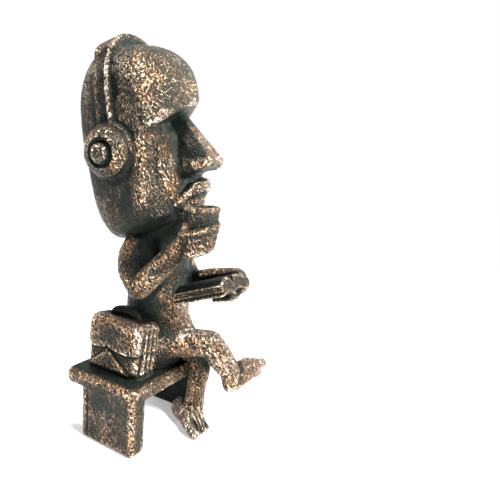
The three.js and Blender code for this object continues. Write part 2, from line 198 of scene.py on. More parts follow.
def limb(joints, around=28, along=48):
    """A round limb on a smooth path through joints [x, y, z, radius], its ends half spheres. Each ring is
    spun from a side, square to the path and to the direction in which the joints spread least."""
    joints = np.asarray(joints, float)
    t = np.linspace(0, len(joints) - 1, along)
    path = through(joints, t)
    cap = np.linspace(-np.pi / 2 * 0.94, 0, 7)[:-1]

    def with_ends(rows):
        """The rows with the first and the last repeated for the half spheres."""
        return np.concatenate([np.repeat(rows[:1], len(cap), 0), rows, np.repeat(rows[-1:], len(cap), 0)])

    centre, radius = with_ends(path[:, :3]), with_ends(path[:, 3])
    slope = np.gradient(path[:, :3], axis=0)
    tangent = with_ends(slope / np.linalg.norm(slope, axis=1, keepdims=True))
    beyond = np.concatenate([np.sin(cap), np.zeros(along), -np.sin(cap[::-1])])
    size = np.concatenate([np.cos(cap), np.ones(along), np.cos(cap[::-1])])
    least = np.linalg.svd(joints[:, :3] - joints[:, :3].mean(0) + 1e-6 * np.eye(3)[0])[2][-1]
    side = np.cross(tangent, least)
    side /= np.linalg.norm(side, axis=1, keepdims=True)
    up = np.cross(side, tangent)
    angle = np.linspace(0, 2 * np.pi, around, endpoint=False)
    spoke = side[:, None] * np.cos(angle)[None, :, None] + up[:, None] * np.sin(angle)[None, :, None]
    ring = (radius * size)[:, None, None] * spoke
    return skin(centre[:, None] + (tangent * (beyond * radius)[:, None])[:, None] + ring)


def ball(x, y, z, rx, ry, rz):
    """An ellipsoid: cosine of latitude round each ring, sine of latitude up."""
    up = np.linspace(-np.pi / 2 * 0.97, np.pi / 2 * 0.97, 24)[:, None]
    turn = np.linspace(0, 2 * np.pi, 32, endpoint=False)[None, :]
    across, along, high = np.cos(up) * np.cos(turn), np.cos(up) * np.sin(turn), np.sin(up) + 0 * turn
    return skin(np.stack([x + rx * across, y + ry * along, z + rz * high], 2))


def block(size, radius, centre):
    """A box with rounded edges: a point of a small sphere, moved out by the box's own half size less the
    radius on the side that the point faces."""
    up = np.linspace(-np.pi / 2 * 0.98, np.pi / 2 * 0.98, 26)[:, None]
    turn = (np.arange(48) + 0.5)[None, :] * 2 * np.pi / 48
    ball_point = np.stack([np.cos(up) * np.cos(turn), np.cos(up) * np.sin(turn), np.sin(up) + 0 * turn], 2)
    core = np.asarray(size) / 2 - radius
    return skin(np.sign(ball_point) * core + ball_point * radius + np.asarray(centre))


def turned(profile, around=72):
    """A turned form: each radius and height of the profile carried round the Z axis."""
    profile = np.asarray(profile, float)
    angle = np.linspace(0, 2 * np.pi, around, endpoint=False)
    ring = np.stack([np.cos(angle), np.sin(angle), 0 * angle], 1)
    rows = profile[:, :1, None] * ring[None] + profile[:, 1, None, None] * np.array([0, 0, 1.0])
    return skin(rows)


def about_x(shape, angle):
    """The shape turned about the X axis."""
    points, faces = shape
    c, s = np.cos(angle), np.sin(angle)
    return points @ np.array([[1, 0, 0], [0, c, s], [0, -s, c]]), faces


def about_y(shape, angle):
    """The shape turned about the Y axis."""
    points, faces = shape
    c, s = np.cos(angle), np.sin(angle)
    return points @ np.array([[c, 0, -s], [0, 1, 0], [s, 0, c]]), faces


def moved(shape, place):
    """The shape carried along by a vector."""
    return shape[0] + np.asarray(place), shape[1]


def on_figure(shape):
    """From the hips' middle on the seat to the bench's frame."""
    return moved(shape, HIPS_PLACE)


def on_head(shape):
    """From the head's own frame, at the middle of the ears, to the bench's frame."""
    return on_figure(moved(about_x(shape, -HEAD_TILT), HEAD_PLACE))


def both_sides(maker):
    """One shape for each side of the head, the side given as -1 for its right and 1 for its left."""
    return [maker(-1), maker(1)]


def skull():
    """The head's column of superellipse rings, deep at the back, with a brow that stands over the face."""
    levels = [
        [-33.2, -2, 8.0, 11, 8, 2.2, 2.2, 0.12, 0, 0],
        [-31.8, -2, 12.2, 15.5, 11.5, 2.3, 2.3, 0.12, 0, 0],
        [-29.0, -4, 14.8, 17.5, 16.6, 2.3, 2.4, 0.1, 0, 0],
        [-24.4, -8, 15.9, 16.2, 23.0, 2.1, 2.8, 0.08, 0, 0],
        [-19.0, -10.5, 16.2, 15.4, 27.1, 1.95, 3.2, 0.04, 0, 0],
        [-12.0, -12.0, 16.2, 14.0, 29.5, 1.85, 3.4, 0, 0, 0],
        [-4.0, -13.5, 16.1, 12.2, 31.9, 1.8, 3.4, 0, 0, 0.02],
        [2.4, -15.0, 16.0, 9.6, 33.7, 1.9, 3.4, 0, 0, 0.14],
        [7.4, -15.0, 16.0, 7.0, 34.0, 2.3, 3.4, 0, 0.4, 0.3],
        [9.9, -14.0, 16.1, 9.6, 33.0, 2.6, 3.4, 0, 0.4, 0.34],
        [11.3, -13, 16.5, 15.4, 32, 2.5, 3.4, 0, 0.4, 0.35],
        [17.0, -13, 16.5, 16.4, 32, 2.4, 3.3, 0, 0.5, 0.22],
        [25.0, -12, 16.2, 16.6, 29.9, 2.3, 3.1, 0, 0.8, 0.06],
        [31.5, -10, 15.2, 15.8, 25, 2.2, 2.8, -0.04, 1, 0],
        [36.0, -7, 12.9, 14.4, 18.5, 2.1, 2.5, -0.08, 0, 0],
        [39.0, -3, 9.2, 12.0, 12, 2.1, 2.1, -0.12, 0, 0],
        [40.4, 0, 4.8, 7.5, 6.5, 2, 2, -0.15, 0, 0],
    ]
    return stack(levels, around=160, along=260)


def nose():
    """The nose down its length: a flat ridge, hollow flanks and a base that widens to the tip. Stations
    give z, the ridge's y, its half width and the base's half width, and each carries one outline across."""
    stations = through([
        [13.0, -24.0, 2.0, 2.8], [8.0, -27.0, 2.3, 3.4], [0.0, -32.2, 2.9, 4.8], [-6.0, -36.0, 3.9, 6.4],
        [-9.2, -38.0, 4.8, 7.2], [-10.8, -37.4, 5.0, 7.2], [-12.2, -34.0, 4.7, 6.6],
        [-13.4, -27.0, 3.8, 5.6],
    ], np.linspace(0, 7, 70))
    z, ridge, half, base = stations.T
    sunk = np.full_like(z, -17.0)
    foot = np.full_like(z, -22.5)
    middle = ridge + (foot - ridge) * 0.5
    outline = [(base, sunk), (base, foot), (base * 0.5 + half * 0.42, middle), (half, ridge + 1.1),
               (half * 0.8, ridge + 0.3), (half * 0.4, ridge)]
    left = [np.stack([x, y, z], 1) for x, y in outline]
    right = [np.stack([-x, y, z], 1) for x, y in outline[::-1]]
    return skin(np.stack(left + right, 1))


def face():
    """Nose, nostrils, cheeks, lips and chin."""
    def nostril(side):
        """The wing of the nose round a nostril."""
        return ball(side * 4.7, -32.6, -10.6, 2.1, 4.2, 2.4)

    def cheek(side):
        """The flat cheek beside the nose, down to the jaw."""
        return limb([[side * 6.6, -18.0, 4, 4.4], [side * 7.4, -18.8, -4, 5.6],
                     [side * 7.0, -19.6, -12, 5.8], [side * 6.2, -19.6, -19, 5.0]])

    upper = limb([[-7.4, -21.6, -23.4, 1.1], [-4.4, -26.6, -20.0, 2.0], [0, -30.1, -17.4, 2.6],
                  [4.4, -26.6, -20.0, 2.0], [7.4, -21.6, -23.4, 1.1]])
    lower = limb([[-6.8, -21.6, -24.4, 1.0], [-3.8, -25.4, -23.2, 1.9], [0, -27.5, -22.2, 2.4],
                  [3.8, -25.4, -23.2, 1.9], [6.8, -21.6, -24.4, 1.0]])
    muzzle = ball(0, -20.2, -19.0, 8.6, 6.8, 6.6)
    chin = ball(0, -19.0, -25.5, 6.5, 4.6, 3.4)
    return [nose(), upper, lower, muzzle, chin, *both_sides(nostril), *both_sides(cheek)]


def headband():
    """The band's section carried over the crown through both ears, along an arch of |cos a|^(2/2.2) across
    and sin a^(2/2.2) up: a strip with a raised lip along its front edge, thickened into a pad on top."""
    inner, crown, shoulder, foot = HEAD_SIDE + 0.6, 40.2, 22.0, 4.0
    arch, power = np.linspace(0, np.pi, 90), 2 / 2.2
    swing = np.sign(np.cos(arch)) * np.abs(np.cos(arch))**power * inner
    across = np.concatenate([[inner + 0.4], swing, [-inner - 0.4]])
    high = np.concatenate([[foot], shoulder + np.sin(arch)**power * (crown - shoulder), [foot]])
    lift = np.concatenate([[0.0], np.sin(arch), [0.0]])
    out = np.stack([across, high - (shoulder - 12)], 1)
    upright = high < shoulder + 0.1
    out[upright] = 0
    out[upright, 0] = np.sign(across[upright])
    out /= np.linalg.norm(out, axis=1, keepdims=True)
    pad = smooth_step(lift, 0.60, 0.74)
    half = BAND_WIDTH / 2 * (1 + 0.3 * pad)
    low = np.full_like(half, -BAND_THICKNESS * 0.6)
    top = BAND_THICKNESS * (0.42 + 0.6 * pad)
    lip = top + 1.2 * (1 - pad)
    section = [(-half, low), (half, low), (half, top * 0.6), (half * 0.72, top), (-half * 0.40, top),
               (-half * 0.52, lip), (-half * 0.88, lip), (-half, top * 0.6)]
    place = np.stack([across, np.full_like(across, BAND_BACK), high], 1)
    outward = np.stack([out[:, 0], 0 * lift, out[:, 1]], 1)
    rows = [place + outward * r[:, None] + np.array([0, 1.0, 0]) * y[:, None] for y, r in section]
    return skin(np.stack(rows, 1))


def ear_cup(side):
    """Cushion, domed shell and knob, turned about the line through both ears and stretched along the
    head."""
    r, d, k = EAR_CUP_RADIUS, EAR_CUP_DEPTH, KNOB_RADIUS
    points, faces = turned([
        [0, -3], [r * 0.9, -3], [r * 0.985, -0.4], [r * 1.01, 0.5], [r, 1.3], [r * 0.95, 2.0],
        [r * 0.89, 2.1], [r * 0.885, 2.5], [r * 0.86, d * 0.58], [r * 0.79, d * 0.74],
        [r * 0.66, d * 0.9], [r * 0.55, d * 0.97],
        [k + 1.5, d * 0.99], [k + 1.0, d * 0.92], [k + 0.55, d * 0.72], [k, d * 0.72], [k, d * 0.98],
        [k * 0.93, d * 1.1], [k * 0.75, d * 1.2], [k * 0.45, d * 1.27], [0, d * 1.3]])
    shape = about_y((points, faces), side * (np.pi / 2 + EAR_CUP_DROOP))
    stretched = shape[0] * [1, EAR_CUP_STRETCH, 1.02]
    return moved((stretched, shape[1]), [side * (HEAD_SIDE + EAR_CUP_OUT), EAR_CUP_BACK, -0.4])


def torso():
    """The trunk from the seat to the neck as a column of superellipse rings."""
    return stack([
        [-1.2, 1, 12.5, 11, 11.5, 2.4, 2.4, 0, 0, 0], [3, 1, 13.6, 12.5, 12.6, 2.4, 2.4, 0, 0, 0],
        [12, 0, 13.2, 18, 12.8, 2, 2.2, 0, 0, 0], [17, 0, 12.8, 15.2, 12.8, 2, 2.2, 0, 0, 0],
        [22, 0, 12.4, 12.9, 12.6, 2.1, 2.1, 0, 0, 0],
        [33, 0.5, 12.4, 13.8, 11.6, 2.1, 2.1, 0, 0, 0], [42, 1.5, 13.2, 12.5, 10.4, 2.2, 2.2, 0, 0, 0],
        [49, 2.5, 12.6, 11, 9.4, 2.2, 2.2, 0, 0, 0], [54, 3.5, 10, 14.5, 8.4, 2, 2, 0, 0, 0],
        [62, 5, 9.4, 20, 8.4, 2, 2, 0, 0, 0]])


def arms():
    """Upper arms and forearms, the right one bent up to the cup and the left one out along the book."""
    return [limb(RIGHT_UPPER_ARM), limb(RIGHT_FOREARM), limb(LEFT_UPPER_ARM), limb(LEFT_FOREARM)]


def toes(big, small, inward):
    """Five toes in a row from the big toe's tip to the small toe's, each a short limb that runs inward.
    The row's tips step by equal shares, the first step being 0.3 of a share longer."""
    shapes = []
    for i in range(5):
        tip = np.asarray(big) + (np.asarray(small) - big) * (i + (0.3 if i else 0)) / 4.3
        tip = tip + np.asarray(inward) * 0.10 * i
        r = 2.0 if i == 0 else 1.3
        shapes.append(limb([[*(tip + np.asarray(inward) * 0.9), r], [*tip, r]], around=16, along=8))
    return shapes


def legs():
    """The right leg laid over the left, with its foot turned out, and the left one standing."""
    knee, ankle = 4.2, 8.0 - BENCH_HEIGHT
    ground = -BENCH_HEIGHT
    drop = knee - ankle
    return [
        limb([[-6.5, -1, 8, 6.2], [-3.5, -12, 10.8, 5.7], [-0.5, -20, 11.8, 5.5], [1.8, -25, 12, 5.3]]),
        limb([[1.8, -25, 12, 5.3], [4.2, -29, 6, 5.0], [6.6, -31.5, 0.5, 4.1], [7.4, -32, -4, 3.6]]),
        limb([[7.2, -32, -4.6, 3.4], [12, -33.5, -1.2, 4.5],
              [16.2, -34.9, 0.3, 4.3], [18.6, -35.6, -0.6, 3.8]]),
        *toes([22.4, -37.6, 1.2], [20.6, -34.2, -4.2], [-4.5, 1.0, 1.0]),
        limb([[7, -1, 7, 6.2], [6.8, -10, 6, 5.8], [6.6, -17.5, 4.6, 5.4]]),
        limb([[6.6, -17.5, knee, 5.2], [5.6, -18.2, ankle + drop * 0.7, 4.4],
              [5.8, -17.0, ankle + drop * 0.3, 3.9], [5.8, -15.8, ground + 5.0, 4.2]]),
        limb([[7.2, -9.6, ground + 3.6, 4.6], [4.6, -15.8, ground + 3.8, 5.2],
              [2.0, -19.2, ground + 2.6, 4.8], [0.8, -20.8, ground + 1.8, 3.9]]),
        limb([[5.8, -16.4, ground + 10.5, 3.7], [4.8, -17.0, ground + 7.4, 4.0],
              [3.2, -18.6, ground + 4.6, 3.8]]),
        *toes([-3.8, -23.4, ground + 1.7], [3.1, -26.0, ground + 1.3], [1.9, 4.6, 1.2]),
    ]


def cup():
    """The cup, turned, with a shallow well down to the drink."""
    r, h = CUP_RADIUS, CUP_HEIGHT
    drink = h - DRINK_DEPTH
    shape = turned([[0, 0], [r * 0.72, 0], [r * 0.86, 1], [r * 0.93, h * 0.4], [r * 0.97, h - 2.4],
                    [r + 0.1, h - 1.2], [r, h - 0.3], [r - CUP_WALL * 0.5, h], [r - CUP_WALL, h - 0.2],
                    [r - CUP_WALL * 1.2, drink], [0, drink]])
    return moved(shape, [*CUP_PLACE, CUP_RIM - h])


def cup_hand():
    """Four fingers that curl round the cup from the near side, and the palm."""
    reach = CUP_RADIUS - 0.3

    def around(angle, z, r):
        """A joint at an angle round the cup."""
        a = np.radians(angle)
        return [CUP_PLACE[0] + np.cos(a) * reach, CUP_PLACE[1] + np.sin(a) * reach, z, r]

    fingers = []
    for i in range(4):
        z = CUP_RIM - 6.4 - i * 2.2
        fingers.append(limb([around(150, z - 4, 1.9), around(195, z - 2.8, 1.8), around(240, z - 1.2, 1.65),
                             around(276 - i * 7, z + 0.3, 1.4)], around=20))
    palm = limb([[-10.8, -21.5, 54.2, 4.2], [-10.2, -22.5, 57.4, 4.6]])
    return [*fingers, palm]


def book_height(out):
    """How high the page stands at a share of its width from the gutter: half a sine wave over the share to
    the power 0.6, less a sharp fall to the gutter."""
    return np.sin(np.pi * np.minimum(1, out**0.6)) * PAGE_RISE - (1 - out)**4 * 1.2


def book():
    """Two page blocks that hump up beside the gutter on a cover that follows them less."""
    x = np.linspace(-1, 1, 61)
    hump = book_height(np.abs(x))
    top = np.stack([x * PAGE_WIDTH, BOOK_THICKNESS / 2 + hump], 1)
    bottom = np.stack([x * PAGE_WIDTH, -BOOK_THICKNESS / 2 + hump * 0.45], 1)[::-1]
    outline = np.vstack([top, bottom])
    along = np.linspace(0, BOOK_LENGTH, 12)
    rows = np.stack([np.stack([outline[:, 0], np.full(len(outline), -a), outline[:, 1]], 1) for a in along])
    return moved(about_x(skin(rows), -BOOK_PITCH), BOOK_PLACE)


def book_hand():
    """The left hand under and beside the book's far edge, the thumb on top."""
    under = [limb([[4.6, -33.5 + i * 3.1, 37 - i * 0.8, 1.8], [2.2, -34 + i * 3.1, 33.4 - i * 0.8, 1.8],
                   [-1.0, -34 + i * 3.1, 32.8 - i * 0.8, 1.6]], around=20) for i in range(3)]
    thumb = limb([[4.8, -31, 40.2, 2.2], [3, -34, 40.6, 1.8], [1.8, -35.5, 40.4, 1.5]], around=20)
    return [*under, thumb, ball(4.1, -33.9, 37.6, 3.3, 4.6, 4.2)]


def bench():
    """Seat slab and two legs, all with rounded edges."""
    leg_height = BENCH_HEIGHT - SLAB_THICKNESS / 2
    leg_depth = BENCH_DEPTH - LEG_BACK_INSET
    slab = block([BENCH_LENGTH, BENCH_DEPTH, SLAB_THICKNESS], BENCH_EDGE_RADIUS,
                 [BENCH_LENGTH / 2, BENCH_DEPTH / 2, BENCH_HEIGHT - SLAB_THICKNESS / 2])
    leg_size = [LEG_THICKNESS, leg_depth, leg_height + 0.4]
    bench_legs = [block(leg_size, LEG_EDGE_RADIUS, [x, leg_depth / 2, leg_height / 2 + 0.2])
                  for x in (LEG_THICKNESS / 2, BENCH_LENGTH - LEG_THICKNESS / 2)]
    return [slab, *bench_legs]


def on_bag(shape):
    """From the satchel's own frame, upright on its base, to its lean on the seat."""
    return moved(about_y(shape, BAG_LEAN), BAG_PLACE)


def satchel():
    """The satchel's body and its thick handle."""
    h = BAG_HEIGHT
    body = block([BAG_THICKNESS, BAG_LENGTH, h], 3.0, [0, 0, h / 2])
    handle = limb([[0.5, -6.5, h - 0.4, 1.7], [0.5, -5.2, h + 2.2, 1.8], [0.5, 0, h + 3.4, 1.8],
                   [0.5, 5.2, h + 2.2, 1.8], [0.5, 6.5, h - 0.4, 1.7]])
    under = block([1.6, 11, 4], 0.6, [0.5, 0, h + 1.2])
    return [on_bag(body), on_bag(handle), on_bag(under)]


def smooth_step(x, low, high):
    """0 below low, 1 above high, and the cubic 3t^2 - 2t^3 between them."""
    t = np.clip((x - low) / (high - low), 0, 1)
    return t * t * (3 - 2 * t)


def fused(name, shapes, voxel):
    """The shapes joined into one closed surface of squares about one voxel wide."""
    starts = np.cumsum([0] + [len(points) for points, _ in shapes[:-1]])
    points = np.vstack([shape[0] for shape in shapes])
    faces = np.vstack([shape[1] + start for shape, start in zip(shapes, starts)])
    rough = bpy.data.meshes.new(name + "_rough")
    rough.from_pydata(points, [], faces)
    piece = bpy.data.objects.new(name + "_rough", rough)
    bpy.context.scene.collection.objects.link(piece)
    remesh = piece.modifiers.new("Fuse", "REMESH")
    remesh.mode = "VOXEL"
    remesh.voxel_size = voxel
    graph = bpy.context.evaluated_depsgraph_get()
    mesh = bpy.data.meshes.new_from_object(piece.evaluated_get(graph))
    bpy.data.objects.remove(piece)
    bpy.data.meshes.remove(rough)
    out = np.empty(len(mesh.vertices) * 3)
    mesh.vertices.foreach_get("co", out)
    corner = np.empty(len(mesh.loops), int)
    mesh.loops.foreach_get("vertex_index", corner)
    bpy.data.meshes.remove(mesh)
    return out.reshape(-1, 3), corner.reshape(-1, 4)


def neighbours(quads):
    """Each edge once in each direction, as two arrays of vertex numbers."""
    a = quads.ravel()
    b = np.roll(quads, -1, axis=1).ravel()
    return a, b


def spread(values, edges, times):
    """Each vertex's value replaced again and again by the mean of its neighbours' values."""
    a, b = edges
    values = np.atleast_2d(values.T).T
    count = len(values)
    degree = np.bincount(a, minlength=count)[:, None]
    for _ in range(times):
        columns = [np.bincount(a, values[b, k], count) for k in range(values.shape[1])]
        values = np.stack(columns, 1) / degree
    return values


def normals(points, quads):
    """Unit normal at each vertex, from the cross product of each square's diagonals."""
    across = np.cross(points[quads[:, 2]] - points[quads[:, 0]], points[quads[:, 3]] - points[quads[:, 1]])
    total = np.zeros_like(points)
    for k in range(4):
        for axis in range(3):
            total[:, axis] += np.bincount(quads[:, k], across[:, axis], len(points))
    return total / np.maximum(np.linalg.norm(total, axis=1, keepdims=True), 1e-12)


def scattered(cell):
    """Three numbers from 0 to 1 for each whole-numbered cell, from a mixing of its integers."""
    x, y, z = (cell[..., k].astype(np.uint64) for k in range(3))
    h = x * np.uint64(73856093) ^ y * np.uint64(19349663) ^ z * np.uint64(83492791)
    parts = []
    for salt in (11, 47, 101):
        m = (h + np.uint64(salt)) * np.uint64(2654435761)
        m = (m ^ (m >> np.uint64(15))) * np.uint64(2246822519)
        m = m ^ (m >> np.uint64(13))
        parts.append((m & np.uint64(0xFFFFF)).astype(float) / float(0xFFFFF))
    return np.stack(parts, -1)


def hammered(points, pitch):
    """Distance from each point to the nearest of one scattered centre per cell, over the pitch: 0 at the
    bottom of each hammer mark and near 0.8 on the edges between marks."""
    all_positive = 500.0
    scaled = points / pitch + all_positive
    base = np.floor(scaled).astype(np.int64)
    nearest = np.full(len(points), 9.0)
    for shift in np.ndindex(3, 3, 3):
        cell = base + (np.array(shift) - 1)
        gap = np.linalg.norm(cell + scattered(cell) - scaled, axis=1)
        nearest = np.minimum(nearest, gap)
    return nearest


def crowding(points, normal, reach, cell):
    """How much surface stands in front of each vertex: the vertices are counted in cells, each count is
    twice replaced by the mean of three in a row, and it is read a reach out along the normal."""
    low = points.min(0) - 4 * cell - reach
    index = ((points - low) / cell).astype(int)
    shape = index.max(0) + 8
    grid = np.zeros(shape)
    np.add.at(grid, tuple(index.T), 1.0)
    for axis in range(3):
        for _ in range(2):
            grid = (np.roll(grid, 1, axis) + grid + np.roll(grid, -1, axis)) / 3
    at = ((points + normal * reach - low) / cell).astype(int)
    at = np.clip(at, 0, np.array(shape) - 1)
    return grid[tuple(at.T)]


def from_figure(points):
    """From the bench's frame back to the hips' middle on the seat."""
    return points - HIPS_PLACE


def turned_back(points, axis, angle):
    """Points turned about the X or Y axis."""
    turner = about_x if axis == "x" else about_y
    return turner((points, None), angle)[0]


def groove(x, places, width):
    """1 on each of the places along x, falling to 0 as a bell: e to the power of minus the square of the
    distance in widths."""
    total = np.zeros_like(x)
    for place in places:
        total = np.maximum(total, np.exp(-((x - place) / width)**2))
    return total


def reach_of(points, joints):
    """Distance from each point to a limb's surface, from the nearest of its path's stops."""
    joints = np.asarray(joints, float)
    path = through(joints, np.linspace(0, len(joints) - 1, 24))
    best = np.full(len(points), 1e9)
    for x, y, z, r in path:
        best = np.minimum(best, np.linalg.norm(points - [x, y, z], axis=1) - r)
    return best


def head_local(points):
    """Points in the head's own frame, at the middle of the ears."""
    return turned_back(from_figure(points) - HEAD_PLACE, "x", HEAD_TILT)


def face_ridge(local, width):
    """1 where each side of the head turns to the face: an upright ridge that slants back as it goes down, a
    bell across its width."""
    middle = -16.4 - 0.16 * (local[:, 2] - 4)
    ridge = groove(local[:, 1] - middle, (0,), width) * smooth_step(np.abs(local[:, 0]), 11, 14)
    return ridge * (smooth_step(local[:, 2], -28, -20) * smooth_step(-local[:, 2], -6, -1))


def head_relief(points, normal):
    """Nostril holes, a bell-shaped dimple under each wing of the nose, and the ridges beside the face."""
    local = head_local(points)
    dent = np.zeros(len(points))
    for side in (-1, 1):
        from_hole = np.linalg.norm(local - [side * 4.0, -32.0, -13.4], axis=1)
        dent = np.maximum(dent, groove(from_hole, (0,), 1.5))
    return 0.6 * face_ridge(local, 3.4) - 1.1 * dent


def head_calm(points, normal):
    """Painted shade, smooth and dark, under the chin and jaw where the surface turns down, and in the eye
    hollows under the brow.
    """
    local = head_local(points)
    x, y, z = np.abs(local[:, 0]), local[:, 1], local[:, 2]
    # Painted shade under the chin and jaw, on faces that turn down.
    under = smooth_step(-normal[:, 2], 0.25, 0.6) * smooth_step(-z, 20, 26) * smooth_step(-y, -4, 2)
    # Painted shade in the eye hollows under the overhanging brow.
    eyes = smooth_step(z, -2, 6) * smooth_step(-z, -13, -9) * smooth_step(-y, 17, 20)
    eyes *= smooth_step(-x, -11, -7) * smooth_step(-y, -24.5, -23.5)
    return np.maximum(under, 0.8 * eyes)


def head_worn(points, normal):
    """Where hands have rubbed the paint most, and where light is painted: the forehead, rubbed and
    brightened as painted highlight, the cheekbones, brightened as painted light where the brow shades them,
    the flat front of the nose, the ridges beside the face and the lip of the band. The flanks of the nose
    are the least rubbed."""
    local = head_local(points)
    x, y, z = np.abs(local[:, 0]), local[:, 1], local[:, 2]
    faces_front = -turned_back(normal, "x", HEAD_TILT)[:, 1]
    on_nose = (y < -25.5) & (z < 10) & (z > -14)
    front = on_nose * smooth_step(faces_front, 0.55, 0.75)
    flank = on_nose * (1 - smooth_step(faces_front, 0.4, 0.6)) * smooth_step(z, -10, -7)
    band = smooth_step(BAND_BACK - y, 2.2, 3.0) * (y > BAND_BACK - 6) * (z > 9)
    band = band * (x > 15.2) * smooth_step(-z, -36, -30)
    # The forehead: wear, with a painted highlight on top of it.
    brow = smooth_step(-y, 14, 19) * smooth_step(z, 9, 14) * smooth_step(-z, -34, -27)
    # Painted light on the cheekbones, where the brow shades them.
    cheek = smooth_step(x, 7, 11) * smooth_step(-y, 13, 16)
    cheek *= smooth_step(z, -22, -14) * smooth_step(-z, -9, -6)
    return front + 0.2 * face_ridge(local, 2.6) + 0.6 * band + 0.5 * brow + 0.35 * cheek - 0.5 * flank


def head_grooves(points, normal):
    """A dark line beside each edge of the nose's flat front, a bell across. Below the outer ends of the
    brow, where the brow shades the face, the dark is taken away as painted light, which the negative values
    say."""
    local = head_local(points)
    x, y, z = np.abs(local[:, 0]), local[:, 1], local[:, 2]
    ridge_half = 2.3 + (8 - z) * 0.147
    beside = groove(x - ridge_half, (0.7,), 0.55) * (y < -25.5) * smooth_step(z, -9, -7) * (z < 9)
    # Painted light: lighter under the outer ends of the brow, where its shade falls.
    cleaned = smooth_step(x, 7, 11) * smooth_step(z, -6, -2) * smooth_step(-z, -12, -9) * (y < -14)
    return beside - 0.75 * cleaned


def book_local(points):
    """Points in the open book's own frame: x across the gutter, y back along it, z off the pages."""
    return turned_back(from_figure(points) - BOOK_PLACE, "x", BOOK_PITCH)


def book_normal(normal):
    """Normals turned into the book's own frame."""
    return turned_back(normal, "x", BOOK_PITCH)


def body_relief(points, normal):
    """Page edges, sunk by half a millimetre where the page grooves are 1."""
    return -0.5 * page_grooves(points, normal)


def body_calm(points, normal):
    """Smooth dark paint on the book's pages, smooth and darker on the flanks, and painted shade, smooth and
    dark, on the neck and chest between the arms, on the inner side of the near upper arm and in the lap."""
    q, n, p = book_local(points), book_normal(normal), from_figure(points)
    pages = (np.abs(q[:, 0]) < PAGE_WIDTH - 0.4) & (q[:, 1] < 0.5) & (q[:, 1] > 1 - BOOK_LENGTH)
    top = (pages & (np.abs(q[:, 2] - 2) < 3.6)) * smooth_step(n[:, 2], 0.5, 0.8)
    other_arms = [reach_of(p, joints) for joints in (RIGHT_FOREARM, LEFT_UPPER_ARM, LEFT_FOREARM)]
    upper_arm = reach_of(p, RIGHT_UPPER_ARM) + 9 * smooth_step(p[:, 0], -12.5, -10.5)
    clear = smooth_step(np.minimum.reduce([*other_arms, upper_arm]), 0.3, 1.1)
    # Painted shade on the neck and chest between the arms, and on the inner side of the near upper arm.
    chest = smooth_step(p[:, 2], 38, 44) * clear * (p[:, 1] > -13.5)
    chest *= 1 - (np.linalg.norm(p[:, :2] - CUP_PLACE, axis=1) < 10)
    flanks = smooth_step(-p[:, 2], -30, -26) * smooth_step(p[:, 2], 12, 16) * smooth_step(-p[:, 0], 5, 9)
    # Painted shade in the lap, under the belly.
    lap = smooth_step(-p[:, 2], -16.5, -14) * smooth_step(-p[:, 1], 9, 12) * smooth_step(p[:, 0], -4, 0)
    return np.maximum.reduce([top, chest, 0.55 * flanks, 0.9 * lap])


def body_worn(points, normal):
    """The belly and the page edges are rubbed bright."""
    p, q = from_figure(points), book_local(points)
    belly = smooth_step(-p[:, 1], 7, 11) * smooth_step(p[:, 2], 15, 19) * smooth_step(-p[:, 2], -32, -28)
    along = (q[:, 1] < 1) & (q[:, 1] > -BOOK_LENGTH - 1)
    edge = along & (np.abs(q[:, 0]) > PAGE_WIDTH - 1.2) & (np.abs(q[:, 2]) < 3)
    return 0.85 * belly + 0.25 * edge


def legs_worn(points, normal):
    """Both legs are rubbed bright, and brightest where they face up, as painted highlight from above."""
    # Painted highlight: faces that turn up are made brighter.
    return 0.50 + 0.8 * smooth_step(normal[:, 2], 0.40, 0.80)


def toe_grooves(points, normal):
    """Dark lines between the standing foot's toes, each a bell across: u runs along the foot to its toes
    and v across it from the big toe. The tips lie on a straight slope, and the lines begin 5 mm behind."""
    p = from_figure(points)
    ahead, aside = 0.92, 0.386
    u, v = -aside * p[:, 0] - ahead * p[:, 1], ahead * p[:, 0] - aside * p[:, 1]
    big_tip, big_side, slope = 24.7, 5.54, 0.365
    behind_tip = big_tip - slope * (v - big_side) - u
    on_toes = (p[:, 2] < 7 - BENCH_HEIGHT) * smooth_step(-behind_tip, -5.5, -4.2)
    return groove(v, (6.95, 8.63, 10.35, 12.07), 0.36) * on_toes


def toe_relief(points, normal):
    """The lines between the toes, sunk by 0.6 mm."""
    return -0.6 * toe_grooves(points, normal)


def page_grooves(points, normal):
    """Dark lines along the near page edges, and others over the book's end that follow the pages' hump."""
    q, n = book_local(points), book_normal(normal)
    out = np.abs(q[:, 0]) / PAGE_WIDTH
    inside = (out < 1.12) & (q[:, 1] < 2) & (q[:, 1] > -BOOK_LENGTH - 1) & (np.abs(q[:, 2] - 0.6) < 4.4)
    edge = smooth_step(np.abs(n[:, 0]), 0.4, 0.7) * (out > 0.85)
    below = smooth_step(-q[:, 2], 0.1, 0.4) * smooth_step(q[:, 2], -1.25, -1.0)
    lines = np.maximum(groove(q[:, 2], (1.35, 0.55), 0.26), below)
    end = smooth_step(-n[:, 1], 0.5, 0.8) * (q[:, 1] < -BOOK_LENGTH + 2)
    level = q[:, 2] - book_height(np.clip(out, 0, 1)) * 0.75
    leaves = groove(level, (1.15, 0.35, -0.45, -1.25), 0.22)
    return inside * np.maximum(edge * lines, end * leaves)


def bag_local(points):
    """Points in the satchel's own frame."""
    return turned_back(points - BAG_PLACE, "y", -BAG_LEAN)


def flap_edge(y):
    """Height of the flap's lower edge along the bag: two scallops, each half of an ellipse that hangs
    down."""
    far_end = np.where(y > FLAP_MEETS, 13.5, -13.5)
    middle, half = (far_end + FLAP_MEETS) / 2, (far_end - FLAP_MEETS) / 2
    return FLAP_LEVEL - FLAP_DROP * np.sqrt(np.maximum(1 - ((y - middle) / half)**2, 0))


